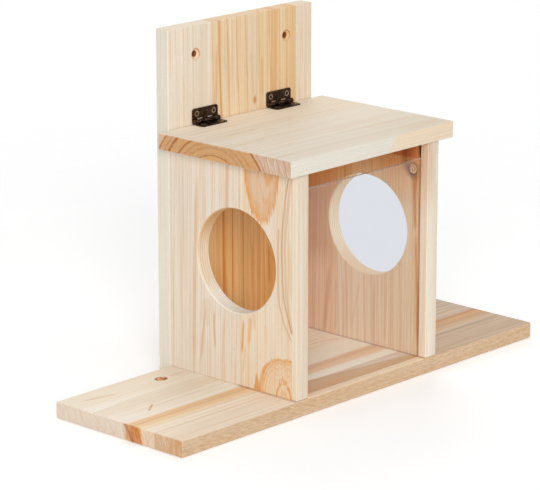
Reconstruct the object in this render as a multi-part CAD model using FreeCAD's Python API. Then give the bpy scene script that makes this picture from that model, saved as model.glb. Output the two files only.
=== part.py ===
import FreeCAD, Part
import math
import os

V = FreeCAD.Vector

# Pine boards, all planed to one thickness
board = 11.0
floor_width = 350.0
floor_depth = 115.0
back_height = 240.0
house_width = 140.0
wall_height = 151.0
roof_side_overhang = 10.0
roof_front_overhang = 4.0
# The lid floats this far above the walls and clears the back board by the second value
roof_seat_gap = 0.2
roof_back_gap = 0.6
edge_ease = 0.4

# Round entry hole in each side wall
entry_radius = 35.0
entry_from_front = 54.0
entry_above_floor = 84.5
entry_rim_ease = 0.7

# Countersunk hanging holes near the top of the back board
hanging_spacing = 88.0
hanging_from_top = 19.5
hanging_hole_radius = 2.0
hanging_sink_radius = 3.8

# Clear pane that drops into a groove in each wall
pane_thickness = 2.0
pane_height = 138.0
pane_from_front = 7.5
pane_edge_ease = 0.15
groove_depth = 4.0
groove_side_clearance = 0.2
groove_end_clearance = 0.4

# Butt hinges with rolled knuckles
hinge_length = 24.0
hinge_spacing = 72.0
leaf_thickness = 0.8
leaf_reach = 8.8
leaf_corner = 1.8
leaf_joggle = 0.25
leaf_lead = 0.8
knuckle_count = 5
knuckle_gap = 0.15
knuckle_relief = 0.35
curl_sweep = 300.0
pin_radius = 0.8
pin_clearance = 0.05
pin_head_radius = 1.3
pin_head_rim = 0.3
pin_head_crown = 0.3
pin_head_gap = 0.1

# Countersunk screws: total length, shank radius, head radius, point length, recess span, width and depth
screw_seat_clearance = 0.05
screw_flats = 16
hinge_screw_from_pin = 5.2
hinge_screw_spacing = 16.0
hinge_screw = dict(length=9.0, shank=1.1, head=2.0, point=2.0, span=2.0, slot=0.5, recess=0.6)
board_screw = dict(length=28.0, shank=1.5, head=3.0, point=4.0, span=3.2, slot=0.8, recess=1.4)
board_screw_sunk = 0.3
floor_screw_from_end = 26.0
wall_screw_from_end = 30.0
floor_edge_screw_spacing = 60.0

# Planes that several pieces share, counted from the middle of the whole object
total_depth = roof_front_overhang + floor_depth + board
front_y = -total_depth / 2 + roof_front_overhang
back_y = front_y + floor_depth
rear_y = back_y + board
floor_top = board
wall_top = floor_top + wall_height
roof_bottom = wall_top + roof_seat_gap
roof_top = roof_bottom + board
wall_outer = house_width / 2
wall_inner = wall_outer - board
wall_middle = wall_outer - board / 2

# Hinge pin line: the leaves lie flat on the roof and on the back board
knuckle_radius = pin_radius + pin_clearance + leaf_thickness
pin_offset = knuckle_radius + leaf_joggle
pin_y = back_y - pin_offset
pin_z = roof_top + pin_offset

ACROSS = V(1, 0, 0)
FORWARD = V(0, -1, 0)
BACKWARD = V(0, 1, 0)
UP = V(0, 0, 1)
DOWN = V(0, 0, -1)


def at(x, y, z):
    return V(x, y, z)


def plank(x0, x1, y0, y1, z0, z1, ease=edge_ease):
    """A planed board between two corners, with every edge lightly broken."""
    box = Part.makeBox(x1 - x0, y1 - y0, z1 - z0, V(x0, y0, z0))
    return box.makeChamfer(ease, box.Edges)


def turned(shape, place, direction):
    """Move a shape made along +Z so that its +Z points in a direction."""
    rotation = FreeCAD.Rotation(UP, direction)
    moved = shape.copy()
    moved.Placement = FreeCAD.Placement(place, rotation)
    return moved


def flat_sided(rings):
    """Closed solid through rings of (radius, height), each a regular polygon, ending in a point."""
    turns = [2 * math.pi * k / screw_flats for k in range(screw_flats)]
    loops = [[V(r * math.cos(a), r * math.sin(a), z) for a in turns] for r, z in rings[:-1]]
    tip = V(0, 0, rings[-1][1])
    faces = [Part.Face(Part.makePolygon(loops[0] + loops[0][:1]))]
    for k in range(screw_flats):
        n = (k + 1) % screw_flats
        for low, high in zip(loops, loops[1:]):
            faces.append(Part.Face(Part.makePolygon([low[k], low[n], high[n], high[k], low[k]])))
        faces.append(Part.Face(Part.makePolygon([loops[-1][k], loops[-1][n], tip, loops[-1][k]])))
    return Part.Solid(Part.Shell(faces))


def screw_rings(size, clearance=0.0):
    """Countersunk head, straight shank and cone point, driven along +Z from a flat head at the origin."""
    shank, head = size["shank"] + clearance, size["head"] + clearance
    neck = head - shank
    tip = size["length"] + clearance
    return [(head, 0), (shank, neck), (shank, tip - size["point"]), (0, tip)]


def screw(size):
    """A screw with a cross recess in its head."""
    body = flat_sided(screw_rings(size))
    span, slot, recess = size["span"], size["slot"], size["recess"]
    for wide, deep in ((span, slot), (slot, span)):
        body = body.cut(Part.makeBox(wide, deep, recess, V(-wide / 2, -deep / 2, 0)))
    return body


def screw_hole(size, sunk=0.0):
    """The hole that a screw leaves, with the same countersink, open above the head by a sunk depth."""
    rings = screw_rings(size, screw_seat_clearance)
    return flat_sided([(rings[0][0], -sunk - 1.0)] + rings)


def drill(shape, size, places, direction, sunk=0.0):
    """Cut one screw hole at each place."""
    for place in places:
        shape = shape.cut(turned(screw_hole(size, sunk), place, direction))
    return shape


def screws(size, places, direction):
    """One group of like screws, kept as separate solids."""
    return Part.makeCompound([turned(screw(size), place, direction) for place in places])


def floor_screw_places(side):
    """Heads of the screws that rise through the floor into one wall."""
    x = side * wall_middle
    return [at(x, y, board_screw_sunk) for y in (front_y + floor_screw_from_end, back_y - floor_screw_from_end)]


def wall_screw_places(side):
    """Heads of the screws that pass through the back board into the rear edge of one wall."""
    x = side * wall_middle
    heights = (floor_top + wall_screw_from_end, wall_top - wall_screw_from_end)
    return [at(x, rear_y - board_screw_sunk, z) for z in heights]


def floor_edge_screw_places():
    """Heads of the screws that pass through the back board into the rear edge of the floor."""
    return [at(side * floor_edge_screw_spacing / 2, rear_y - board_screw_sunk, board / 2) for side in (-1, 1)]


def hinge_screw_xs(hinge_x):
    return [hinge_x - hinge_screw_spacing / 2, hinge_x + hinge_screw_spacing / 2]


def back_leaf_screw_places(hinge_x):
    """Heads on the front face of the upright leaf."""
    return [at(x, back_y - leaf_thickness, pin_z + hinge_screw_from_pin) for x in hinge_screw_xs(hinge_x)]


def roof_leaf_screw_places(hinge_x):
    """Heads on the top face of the lying leaf."""
    return [at(x, pin_y - hinge_screw_from_pin, roof_top + leaf_thickness) for x in hinge_screw_xs(hinge_x)]


HINGE_XS = {"left": -hinge_spacing / 2, "right": hinge_spacing / 2}
SIDES = {"left": -1, "right": 1}


def floor_board():
    shape = plank(-floor_width / 2, floor_width / 2, front_y, back_y, 0, floor_top)
    for side in SIDES.values():
        shape = drill(shape, board_screw, floor_screw_places(side), UP, board_screw_sunk)
    return drill(shape, board_screw, floor_edge_screw_places(), FORWARD)


def hanging_hole(x):
    """A through hole with a countersink on the front face."""
    z = back_height - hanging_from_top
    hole = Part.makeCylinder(hanging_hole_radius, board + 2, V(x, back_y - 1, z), BACKWARD)
    sink_depth = hanging_sink_radius - hanging_hole_radius
    sink = Part.makeCone(hanging_sink_radius, hanging_hole_radius, sink_depth, V(x, back_y, z), BACKWARD)
    return hole.fuse(sink)


def back_board():
    shape = plank(-house_width / 2, house_width / 2, back_y, rear_y, 0, back_height)
    for side in SIDES.values():
        shape = shape.cut(hanging_hole(side * hanging_spacing / 2))
        shape = drill(shape, board_screw, wall_screw_places(side), FORWARD, board_screw_sunk)
    shape = drill(shape, board_screw, floor_edge_screw_places(), FORWARD, board_screw_sunk)
    for hinge_x in HINGE_XS.values():
        shape = drill(shape, hinge_screw, back_leaf_screw_places(hinge_x), BACKWARD)
    return shape


def entry_hole(inner, outer):
    """Round bore from face to face of a wall, with a narrow bevel at each rim."""
    y, z = front_y + entry_from_front, floor_top + entry_above_floor
    left, right = min(inner, outer), max(inner, outer)
    wide = entry_radius + entry_rim_ease
    bore = Part.makeCylinder(entry_radius, right - left + 2, V(left - 1, y, z), ACROSS)
    near = Part.makeCone(wide, entry_radius, entry_rim_ease, V(left, y, z), ACROSS)
    far = Part.makeCone(entry_radius, wide, entry_rim_ease, V(right - entry_rim_ease, y, z), ACROSS)
    return bore.fuse([near, far])


def pane_groove(side):
    """Groove in the inner face of a wall, open at the top and at the foot."""
    width = pane_thickness + 2 * groove_side_clearance
    x = wall_inner if side > 0 else -wall_inner - groove_depth
    y = front_y + pane_from_front - width / 2
    return Part.makeBox(groove_depth, width, wall_height + 2, V(x, y, floor_top - 1))


def wall(side):
    inner, outer = side * wall_inner, side * wall_outer
    shape = plank(min(inner, outer), max(inner, outer), front_y, back_y, floor_top, wall_top)
    shape = shape.cut(entry_hole(inner, outer)).cut(pane_groove(side))
    shape = drill(shape, board_screw, floor_screw_places(side), UP)
    return drill(shape, board_screw, wall_screw_places(side), FORWARD)


def roof_board():
    half = house_width / 2 + roof_side_overhang
    shape = plank(-half, half, front_y - roof_front_overhang, back_y - roof_back_gap, roof_bottom, roof_top)
    for hinge_x in HINGE_XS.values():
        shape = drill(shape, hinge_screw, roof_leaf_screw_places(hinge_x), DOWN)
    return shape


def window_pane():
    half = wall_inner + groove_depth - groove_end_clearance
    y = front_y + pane_from_front - pane_thickness / 2
    return plank(-half, half, y, y + pane_thickness, floor_top, floor_top + pane_height, pane_edge_ease)


def leaf_section(x, along, back):
    """Closed section of a leaf: flat plate, small joggle, then the sheet curls round the pin."""
    def spot(u, v):
        return at(x, pin_y, pin_z) + along * u + back * v

    def on_curl(radius, degrees):
        angle = math.radians(degrees)
        return spot(-radius * math.sin(angle), radius * math.cos(angle))

    bore = knuckle_radius - leaf_thickness
    outer = Part.Arc(on_curl(knuckle_radius, 0), on_curl(knuckle_radius, curl_sweep / 2),
                     on_curl(knuckle_radius, curl_sweep))
    inner = Part.Arc(on_curl(bore, curl_sweep), on_curl(bore, curl_sweep / 2), on_curl(bore, 0))
    corners = [on_curl(bore, 0), spot(leaf_lead, pin_offset - leaf_thickness),
               spot(leaf_reach, pin_offset - leaf_thickness), spot(leaf_reach, pin_offset),
               spot(leaf_lead, pin_offset), on_curl(knuckle_radius, 0)]
    edges = [outer.toShape(), Part.makeLine(on_curl(knuckle_radius, curl_sweep), on_curl(bore, curl_sweep)),
             inner.toShape()]
    edges += [Part.makeLine(a, b) for a, b in zip(corners, corners[1:])]
    return Part.Face(Part.Wire(edges))


def leaf_outline(x, along, back):
    """Block with two rounded corners that trims the free edge of a leaf."""
    deep = 2 * pin_offset + 2
    start = at(x, pin_y, pin_z) - along * (knuckle_radius + 1) - back * (deep / 2)
    far = along * (leaf_reach + knuckle_radius + 1)
    corners = [start, start + far, start + far + ACROSS * hinge_length, start + ACROSS * hinge_length]
    block = Part.Face(Part.makePolygon(corners + corners[:1])).extrude(back * deep)
    free = []
    for edge in block.Edges:
        middle = edge.CenterOfMass
        reach = (middle - at(x, pin_y, pin_z)).dot(along)
        runs_deep = abs(edge.tangentAt(edge.FirstParameter).dot(back)) > 0.9
        if runs_deep and reach > leaf_reach / 2:
            free.append(edge)
    return block.makeFillet(leaf_corner, free)


def hinge_leaf(hinge_x, along, back, own_first):
    """One hinge leaf with every other knuckle, where own_first is 0 for the end knuckles."""
    start = hinge_x - hinge_length / 2
    shape = leaf_section(start, along, back).extrude(ACROSS * hinge_length)
    shape = shape.common(leaf_outline(start, along, back))
    pitch = hinge_length / knuckle_count
    notch_reach = knuckle_radius + knuckle_relief
    for index in range(knuckle_count):
        if index % 2 == own_first:
            continue
        low = start + index * pitch - (knuckle_gap if index > 0 else 1)
        high = start + (index + 1) * pitch + (knuckle_gap if index < knuckle_count - 1 else 1)
        corner = at(low, pin_y, pin_z) - along * notch_reach - back * (pin_offset + 1)
        sides = [ACROSS * (high - low), along * (2 * notch_reach)]
        outline = [corner, corner + sides[0], corner + sides[0] + sides[1], corner + sides[1], corner]
        notch = Part.Face(Part.makePolygon(outline)).extrude(back * (2 * pin_offset + 2))
        shape = shape.cut(notch)
    return shape


def back_leaf(hinge_x):
    shape = hinge_leaf(hinge_x, UP, BACKWARD, 0)
    return drill(shape, hinge_screw, back_leaf_screw_places(hinge_x), BACKWARD)


def roof_leaf(hinge_x):
    shape = hinge_leaf(hinge_x, FORWARD, DOWN, 1)
    return drill(shape, hinge_screw, roof_leaf_screw_places(hinge_x), DOWN)


def hinge_pin(hinge_x):
    """Pin through all the knuckles, with a low bevelled head peened over at each end."""
    half = hinge_length / 2 + pin_head_gap
    rim_top = half + pin_head_rim
    crown = rim_top + pin_head_crown
    outline = [(0, -crown), (pin_radius, -crown), (pin_head_radius, -rim_top), (pin_head_radius, -half),
               (pin_radius, -half), (pin_radius, half), (pin_head_radius, half),
               (pin_head_radius, rim_top), (pin_radius, crown), (0, crown)]
    points = [V(radius, 0, height) for radius, height in outline]
    pin = Part.Face(Part.makePolygon(points + points[:1])).revolve(V(0, 0, 0), UP, 360)
    return turned(pin, at(hinge_x, pin_y, pin_z), ACROSS)


def pieces():
    """Every piece of the feeder by name."""
    yield "floor_board", floor_board()
    yield "back_board", back_board()
    yield "roof_board", roof_board()
    yield "window_pane", window_pane()
    for name, side in SIDES.items():
        yield name + "_wall", wall(side)
        yield name + "_wall_floor_screws", screws(board_screw, floor_screw_places(side), UP)
        yield name + "_wall_back_screws", screws(board_screw, wall_screw_places(side), FORWARD)
    yield "floor_edge_screws", screws(board_screw, floor_edge_screw_places(), FORWARD)
    for name, hinge_x in HINGE_XS.items():
        hinge = name + "_hinge_"
        yield hinge + "back_leaf", back_leaf(hinge_x)
        yield hinge + "roof_leaf", roof_leaf(hinge_x)
        yield hinge + "pin", hinge_pin(hinge_x)
        yield hinge + "back_screws", screws(hinge_screw, back_leaf_screw_places(hinge_x), BACKWARD)
        yield hinge + "roof_screws", screws(hinge_screw, roof_leaf_screw_places(hinge_x), DOWN)


os.makedirs("parts", exist_ok=True)
for node, shape in pieces():
    solids = shape.Solids
    print(node, "solids", len(solids), "valid", shape.isValid(), "volume", round(shape.Volume, 2))
    shape.exportStep("parts/" + node + ".step")
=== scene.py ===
import math
from collections import namedtuple

import bmesh
import bpy
from bpy.props import FloatProperty, FloatVectorProperty, IntProperty, PointerProperty
from bpy.types import Operator, Panel, PropertyGroup
from mathutils import Matrix, Vector


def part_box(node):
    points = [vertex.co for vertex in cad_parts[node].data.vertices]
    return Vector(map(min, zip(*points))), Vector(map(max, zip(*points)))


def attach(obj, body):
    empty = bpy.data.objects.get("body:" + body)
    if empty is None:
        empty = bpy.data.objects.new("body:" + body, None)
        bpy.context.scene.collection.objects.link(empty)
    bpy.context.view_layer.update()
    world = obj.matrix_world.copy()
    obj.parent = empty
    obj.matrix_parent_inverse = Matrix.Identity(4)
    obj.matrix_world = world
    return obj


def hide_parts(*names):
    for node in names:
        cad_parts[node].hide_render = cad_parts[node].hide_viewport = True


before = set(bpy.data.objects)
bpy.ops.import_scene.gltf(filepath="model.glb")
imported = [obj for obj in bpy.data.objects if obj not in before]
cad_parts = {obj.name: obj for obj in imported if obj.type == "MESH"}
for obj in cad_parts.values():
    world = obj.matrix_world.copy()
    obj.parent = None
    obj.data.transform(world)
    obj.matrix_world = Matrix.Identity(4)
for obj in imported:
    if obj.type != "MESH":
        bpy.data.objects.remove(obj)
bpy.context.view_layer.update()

bl_info = {
    "name": "Squirrel feeder house finish",
    "version": (1, 0, 0),
    "blender": (4, 5, 0),
    "location": "3D View > Sidebar > Feeder",
    "description": "Pine boards, clear pane, bronzed hinges, screws and a small studio for the feeder house",
    "category": "Object",
}

MM = 0.001
MM_IN_METRE = 1000.0


def shade(red, green, blue):
    """A colour as it shows on a screen, 0 to 255, as the linear values that shaders take."""
    values = []
    for value in (red, green, blue):
        value /= 255
        values.append(value / 12.92 if value <= 0.04045 else ((value + 0.055) / 1.055) ** 2.4)
    return tuple(values)


# What the figure of a board is made of. Lengths are millimetres in the feeder's own frame, and colours are
# screen values from 0 to 255. Half is half a width, and a span with None for an end is open there.

# One glued strip of a board. Pith and heart place the middle of its tree across the board and through it,
# each with its drift along the grain. Ring is a year's usual growth, and figure says how strongly the years
# show. The colours are those of its early wood, its late wood and its darkest streaks.
Stave = namedtuple("Stave", "pith heart ring figure seed cream gold ink", defaults=(None,))

# One strong ring of a stave, placed by where it meets the face across the board, or by its radius.
Ring = namedtuple("Ring", "stave at half strength radius along across on", defaults=(None,) * 4)

# A streak that runs out at both ends, from start along and first across to stop along and last across. Bow
# is how far its middle swings out.
Streak = namedtuple("Streak", "start first stop last half strength bow", defaults=(0,))

# A dark line that winds through points of (along, across).
Vein = namedtuple("Vein", "half strength points")

# Rings of a stave that graze its face, and show as arches round a centre. Comb is how far the planer frayed
# them along the grain, and power how square their shoulders are. Fill is (how far out, softness, strength,
# colour), and each ring is (how far out, half width, strength).
Arch = namedtuple("Arch", "stave centre reach comb power fill rings", defaults=(2, None, ()))

# An area of another colour, or of the same wood tinted, wherever a point lies within all its spans. Many
# zones paint light and shade rather than the wood's own tone. Slant leans its limits along and across with
# the depth, and skew turns its limits across with the grain.
Zone = namedtuple("Zone", "soft strength colour tint on slant skew along across depth radius",
                  defaults=(None, None, None, (0, 0), 0, None, None, None, None))

# A knot with its radius along and across: a small sound pin, a plug with a black rim, or a loose one that
# has cracked.
Knot = namedtuple("Knot", "along across radius kind")

# A round hole through the board, either sanded to fresh wood, or drilled with painted shade in the hole
# and on the upper rim of its countersink.
Bore = namedtuple("Bore", "along across radius finish")

# Heartwood in the roof's ends, and the darker line where two boards meet: their gap and painted contact
# shade.
HEART, CONTACT_SHADE = (208, 156, 96), (166, 112, 68)

# A board names the axes that run along its grain, across it and through it, and its glue seams across. Where
# rings are placed by how they meet a face, it gives that face and the middle of the figure along the grain.
# Its staves lie between the seams, from the lowest place across. Streaks take the darkest colour of a stave,
# and shades are streaks in the colour of its late wood. Rough edge and sawn are how strongly the saw marked
# the narrow faces and the ends, and sawn also says where across. End tone is the darkest colour of the end
# grain, and end rings how strongly the years show there. The fresh tones are those of a sanded bore from its
# bottom to its top: fresh wood with painted light and shade by height.
BOARDS = {
    "left_wall": {
        "grain": "ZYX", "face": -70, "middle": 86, "seams": (-56.6, -10.6),
        # The fresh tones paint light and shade on the hole's wall: light at the bottom, darker at the top.
        "fresh": ((255, 252, 240), (242, 222, 194), (220, 172, 114)), "vein_tone": (202, 154, 114),
        "staves": (
            Stave((-150, 0), (-100, 0), 2.4, 0.3, 5, (234, 220, 200), (222, 188, 146)),
            Stave((-120, 0), (-40, 0), 3, 0.22, 3, (232, 215, 191), (224, 178, 126), (222, 154, 80)),
            Stave((-60, -0.028), (-10, 0), 2.7, 0.3, 11, (231, 218, 201), (220, 184, 146), (208, 160, 112)),
        ),
        "rings": (
            Ring(2, 2.8, 1.1, 0.6, along=(120, 175)), Ring(2, 3, 0.8, 0.35, along=(0, 58)),
            Ring(2, -9, 0.45, 0.45), Ring(2, 16, 0.35, 0.25), Ring(2, 37.5, 0.4, 0.25),
            Ring(2, 49.6, 0.45, 0.35),
        ),
        "streaks": (
            (61, -14, 30, -12, 1.2, 1), (62, 13.2, 28, 11.6, 0.9, 0.85, 0.6),
            (6, -28, 34, -35, 1.9, 0.85, 1.6), (66, 19, 12, 26.4, 0.8, 0.5, 1),
        ),
        "shades": (
            (170, 27.2, -12, 33, 2, 0.95), (124, -54.6, 72, -56.4, 1.6, 0.45),
            (68, 19.6, 42, 20.8, 4.5, 0.4), (172, 25, 96, 27, 0.8, 0.5),
            (64, -20.6, 38, -18.6, 1.8, 0.9), (44, -16, 16, -12.6, 1.3, 0.5),
            (66, -22.5, 50, -24, 1.2, 0.6), (58, 21, 18, 25.4, 1.5, 0.6), (150, 20, 60, 23, 1.2, 0.3),
            (165, 6.5, 100, 6, 0.9, 0.3), (165, -4, 128, -4.4, 1, 0.35), (60, 4, -4, 3, 1.2, 0.4),
            (120, 43, 20, 42, 1.2, 0.3), (60, -34, 42, -34, 1.4, 0.35),
        ),
        "veins": (
            Vein(0.85, 1, ((56.3, -56.2), (62, -54.6), (70, -51.7), (83, -48.9), (97, -48.1), (110, -47.6),
                 (123, -48.2), (135, -49.6), (147, -51.1), (159, -53.6))),
            Vein(0.8, 0.7, ((51, -56.2), (55, -53.8), (60, -50.6), (69, -47.2), (75, -45.4), (92, -44.6),
                 (124, -44.9))),
            Vein(1.2, 0.5, ((56, -57), (66, -54.8), (76, -52.6), (97, -50.6), (118, -50.4), (135, -52.4),
                 (159, -55.6))),
        ),
        "arches": (
            Arch(1, (175, -29.7), (50, 15.8), 26, fill=(0.99, 0.05, 0.62, (212, 170, 132)),
                 rings=((0.97, 0.06, 1), (0.86, 0.05, 0.55), (0.77, 0.03, 0.3))),
            Arch(1, (175, -34.5), (37, 8.6), 22, rings=((0.97, 0.06, 0.6),)),
            Arch(1, (175, -36.2), (24, 5.6), 16, rings=((0.9, 0.16, 0.8),)),
            Arch(1, (5, -50), (32.6, 21.6), 10, power=2.6, fill=(0.99, 0.03, 0.34, (230, 194, 148)),
                 rings=((0.98, 0.036, 1), (0.9, 0.03, 0.7), (0.8, 0.034, 0.5), (0.69, 0.026, 0.32),
                        (0.6, 0.03, 0.22))),
            Arch(1, (6, -49.6), (17.5, 7), 12, fill=(0.97, 0.06, 0.4, (232, 204, 164)),
                 rings=((0.95, 0.09, 1), (0.5, 0.09, 0.55))),
            Arch(1, (9, -25.8), (14, 3.6), 9, power=1.15, fill=(1, 0.2, 1, (220, 148, 62))),
        ),
        "zones": (
            # Painted shade: the inner face is tinted darker and warmer for the dim light inside the house.
            Zone(0.5, 0.7, tint=(1, 0.72, 0.5), depth=(-60, None)),
            Zone(0.3, 1, tint=(0.936, 0.94, 0.955), on="side", across=(None, -60.2)),
            # Painted contact shade along the foot of the wall, where it meets the floor.
            Zone(0.3, 0.7, CONTACT_SHADE, along=(None, 11.7), across=(None, -8)),
        ),
        "bores": (Bore(95.5, -7, 35, "sanded"),),
    },
    "right_wall": {
        "grain": "ZYX", "face": 59, "middle": 86, "seams": (-54.9, -20.5, 22),
        # The fresh tones paint light and shade on the hole's wall: lighter in the middle than at the bottom
        # and top.
        "fresh": ((242, 216, 180), (255, 240, 212), (244, 220, 182)),
        "staves": (
            Stave((-150, 0), (40, 0), 2.4, 0.3, 19, (236, 226, 210), (222, 188, 146)),
            Stave((-130, 0.01), (20, 0.03), 3.3, 0.42, 21, (236, 208, 168), (214, 152, 92), (196, 112, 48)),
            Stave((70, 0.02), (0, 0), 2.8, 0.45, 27, (240, 214, 180), (210, 150, 96)),
            Stave((-20, -0.02), (-20, 0), 3.4, 0.4, 33, (244, 206, 164), (206, 142, 90)),
        ),
        "rings": (
            Ring(3, 40, 0.8, 0.3), Ring(3, 48, 1, 0.4), Ring(2, -4.2, 0.6, 0.4, along=(0, 66)),
            Ring(2, 12, 0.8, 0.35), Ring(1, -28, 0.6, 0.4), Ring(1, -36, 0.5, 0.3),
            # This strong ring beside the pane's groove is a ring of the stave and partly painted shade along
            # the groove.
            Ring(1, -53.4, 0.8, 0.9),
        ),
        "streaks": (
            (146, -47.2, 92, -49.6, 1.5, 0.8), (112, -49.6, 4, -52.2, 1.3, 0.7),
        ),
        "shades": (
            (60, -2, 14, 8, 1, 0.3), (68, 26.6, 2, 33.4, 2.6, 0.55), (60, 21, 4, 22, 1.2, 0.5),
            (60, -14, 4, -13, 1.4, 0.5), (62, 14, 4, 13, 1, 0.4), (64, -25, 8, -24, 1.2, 0.4),
        ),
        "zones": (
            # Painted shade under the roof: the top of the inner face is tinted and coloured darker and more
            # orange, with a darker patch above the knot.
            Zone(12, 0.95, tint=(0.73, 0.28, 0.06), along=(139, None), across=(-54.9, None),
                 depth=(None, 60)),
            Zone(1, 0.75, (192, 112, 40), along=(148.5, None), across=(-54.6, None), depth=(None, 60)),
            Zone(3.4, 0.75, (112, 56, 18), along=(140, None), across=(-45.5, -38), depth=(None, 60)),
            # Painted light and shade on the inner face's front strip: darker towards the top, lighter lower
            # down.
            Zone(16, 0.85, (214, 156, 96), along=(118, None), across=(None, -54.8), depth=(None, 60)),
            Zone(16, 0.8, (255, 232, 204), along=(None, 125), across=(None, -54.8), depth=(None, 60)),
            # Painted shade in the pane's groove: its flanks are darkened, nearly black above the pane under
            # the roof.
            Zone(0.15, 1, (206, 132, 66), along=(150, None), across=(-54.9, -52), depth=(59.2, 60.4)),
            Zone(0.15, 1, (30, 14, 6), along=(150, None), across=(-54.9, -52), depth=(60.4, 63)),
            Zone(0.15, 1, (240, 182, 118), along=(None, 150), across=(-54.9, -52), depth=(59.2, 60.5)),
            Zone(0.15, 1, (196, 124, 66), along=(None, 150), across=(-54.9, -52), depth=(60.5, 63)),
            # Painted contact shade along the foot of the wall.
            Zone(0.25, 0.7, CONTACT_SHADE, along=(None, 11.5)),
            # Painted shade inside the house: these tints darken and warm parts of the inner face that lie in
            # shade.
            Zone(10, 0.9, tint=(0.77, 0.6, 0.46), along=(62, None), across=(24, None), depth=(None, 60)),
            Zone(5, 0.9, tint=(0.88, 0.8, 0.66), along=(70, 114), across=(28, 47), depth=(None, 60)),
            Zone(4, 0.9, tint=(0.94, 0.88, 0.81), along=(118, 148), across=(-54.9, -18), depth=(None, 60)),
            Zone(8, 0.95, tint=(0.97, 0.69, 0.38), along=(112, None), across=(6, None), depth=(None, 60)),
            Zone(8, 0.85, tint=(0.97, 0.78, 0.47), along=(124, None), across=(-52, None), depth=(None, 60)),
            Zone(9, 0.8, tint=(0.9, 0.8, 0.72), along=(112, None), across=(-54.9, -24), depth=(None, 60)),
            Zone(0.3, 1, tint=(0.95, 0.98, 1), on="side", across=(None, -60.2)),
            # Painted shade: the rear part below the pane's top is tinted a little darker.
            Zone(6, 0.6, tint=(1, 0.95, 0.92), along=(None, 150), across=(22, None), depth=(None, 60)),
        ),
        "knots": (Knot(141, -46.9, (3.9, 3.7), "plug"),),
        "bores": (Bore(95.5, -7, 35, "sanded"),),
    },
    "back_board": {
        "grain": "ZXY", "face": 54, "middle": 205, "seams": (-28.5, 14.8, 53.6),
        "staves": (
            Stave((-160, 0), (140, 0), 2.6, 0.34, 41, (235, 222, 204), (224, 192, 154)),
            Stave((90, -0.036), (150, 0), 4.4, 0.2, 47, (235, 210, 173), (214, 162, 104), (206, 146, 80)),
            Stave((-60, -0.03), (130, 0), 3, 0.26, 53, (234, 204, 160), (214, 160, 100), (208, 144, 78)),
            Stave((160, 0), (120, 0), 2.4, 0.3, 59, (235, 219, 197), (222, 186, 144)),
        ),
        "rings": (
            Ring(0, -55, 0.4, 0.2), Ring(0, -46, 0.4, 0.22), Ring(0, -40.5, 0.3, 0.2),
            Ring(0, -35, 0.4, 0.3), Ring(1, -27.4, 0.4, 0.4), Ring(1, -20.8, 0.75, 0.7),
            Ring(1, -13, 0.4, 0.28), Ring(1, -8, 0.3, 0.2), Ring(1, -3.8, 0.4, 0.38),
            Ring(1, 5, 0.3, 0.4), Ring(2, 18.5, 0.5, 0.25), Ring(2, 28.6, 0.4, 0.5),
            Ring(2, 33.5, 0.3, 0.28), Ring(2, 38, 0.5, 0.25), Ring(2, 44, 0.4, 0.25),
            Ring(2, 50.8, 0.5, 0.3),
        ),
        "streaks": (
            (152, -19, 20, -17.4, 1.2, 1), (152, -9.2, 30, -9.2, 0.6, 1), (152, 0.6, 30, 1.8, 0.6, 1),
            (90, 10.6, 40, 11.2, 0.7, 0.6), (80, 26.5, 44, 28, 1.5, 0.8),
        ),
        "shades": (
            (245, -13.4, 176, -12, 1.2, 0.4), (245, -4.6, 176, -3, 1.2, 0.35),
            (230, -24, 180, -24.4, 1.4, 0.5), (222, 9, 178, 11.6, 1.2, 0.4), (215, 20, 176, 21, 1.6, 0.5),
            (206, 30, 176, 31, 1.2, 0.5), (245, 60, 190, 61, 0.8, 0.4), (235, 66, 178, 66.4, 0.8, 0.3),
        ),
        "zones": (
            Zone(0.8, 0.45, (218, 168, 108), along=(170, None), across=(28.8, 35.6)),
            Zone(1, 0.45, (224, 180, 120), along=(170, None), across=(44, 53.6)),
            Zone(2, 0.5, (226, 204, 178), along=(170, None), across=(5.6, 16)),
            Zone(1, 0.7, (230, 224, 210), on="side", across=(None, -66)),
            Zone(0.5, 0.8, (188, 128, 76), along=(None, 164), across=(-18, -16.4), depth=(None, 56),
                 skew=0.0121),
            Zone(0.35, 0.8, (176, 118, 68), along=(None, 164), across=(-9.6, -8.8), depth=(None, 56)),
            Zone(0.35, 0.8, (176, 118, 68), along=(None, 164), across=(1.7, 2.5), depth=(None, 56),
                 skew=0.0098),
            Zone(0.35, 0.6, (196, 140, 88), along=(None, 164), across=(10.6, 11.2), depth=(None, 56)),
            Zone(0.35, 0.5, (196, 140, 88), along=(None, 164), across=(16.8, 17.4), depth=(None, 56)),
            # Painted shade and light: inside the house the back board is tinted darker and warmer, and its
            # right part is lightened again.
            Zone(1, 0.92, tint=(1, 0.72, 0.42), along=(None, 164), across=(-59, 59), depth=(None, 56)),
            Zone(9, 1, tint=(1.16, 1.2, 1.24), along=(None, 164), across=(4, 44), depth=(None, 56)),
        ),
        "knots": (Knot(180.5, 12.9, (2, 0.95), "pin"),),
        "bores": (Bore(220.5, -44, 2, "drilled"), Bore(220.5, 44, 2, "drilled")),
    },
    "roof_board": {
        "grain": "XYZ", "seams": (),
        "end_tone": (168, 100, 46), "sawn": (0.5, (-80, -40)),
        "staves": (
            Stave((-1, -0.05), (141, 0.04), 4.1, 0.2, 61, (229, 220, 205), (216, 190, 152), (212, 184, 142)),
        ),
        "rings": (
            Ring(0, None, 0.45, 0.85, radius=28.5, on="end"),
            Ring(0, None, 0.7, 0.9, radius=41, on="end", across=(3, None)),
            Ring(0, None, 1, 1, radius=48.3, on="end"), Ring(0, None, 0.5, 0.5, radius=51.6, on="end"),
            Ring(0, None, 0.7, 0.9, radius=55.6, on="end", across=(10, None)),
            Ring(0, None, 0.8, 0.3, radius=34, on="end"),
        ),
        "streaks": (
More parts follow.
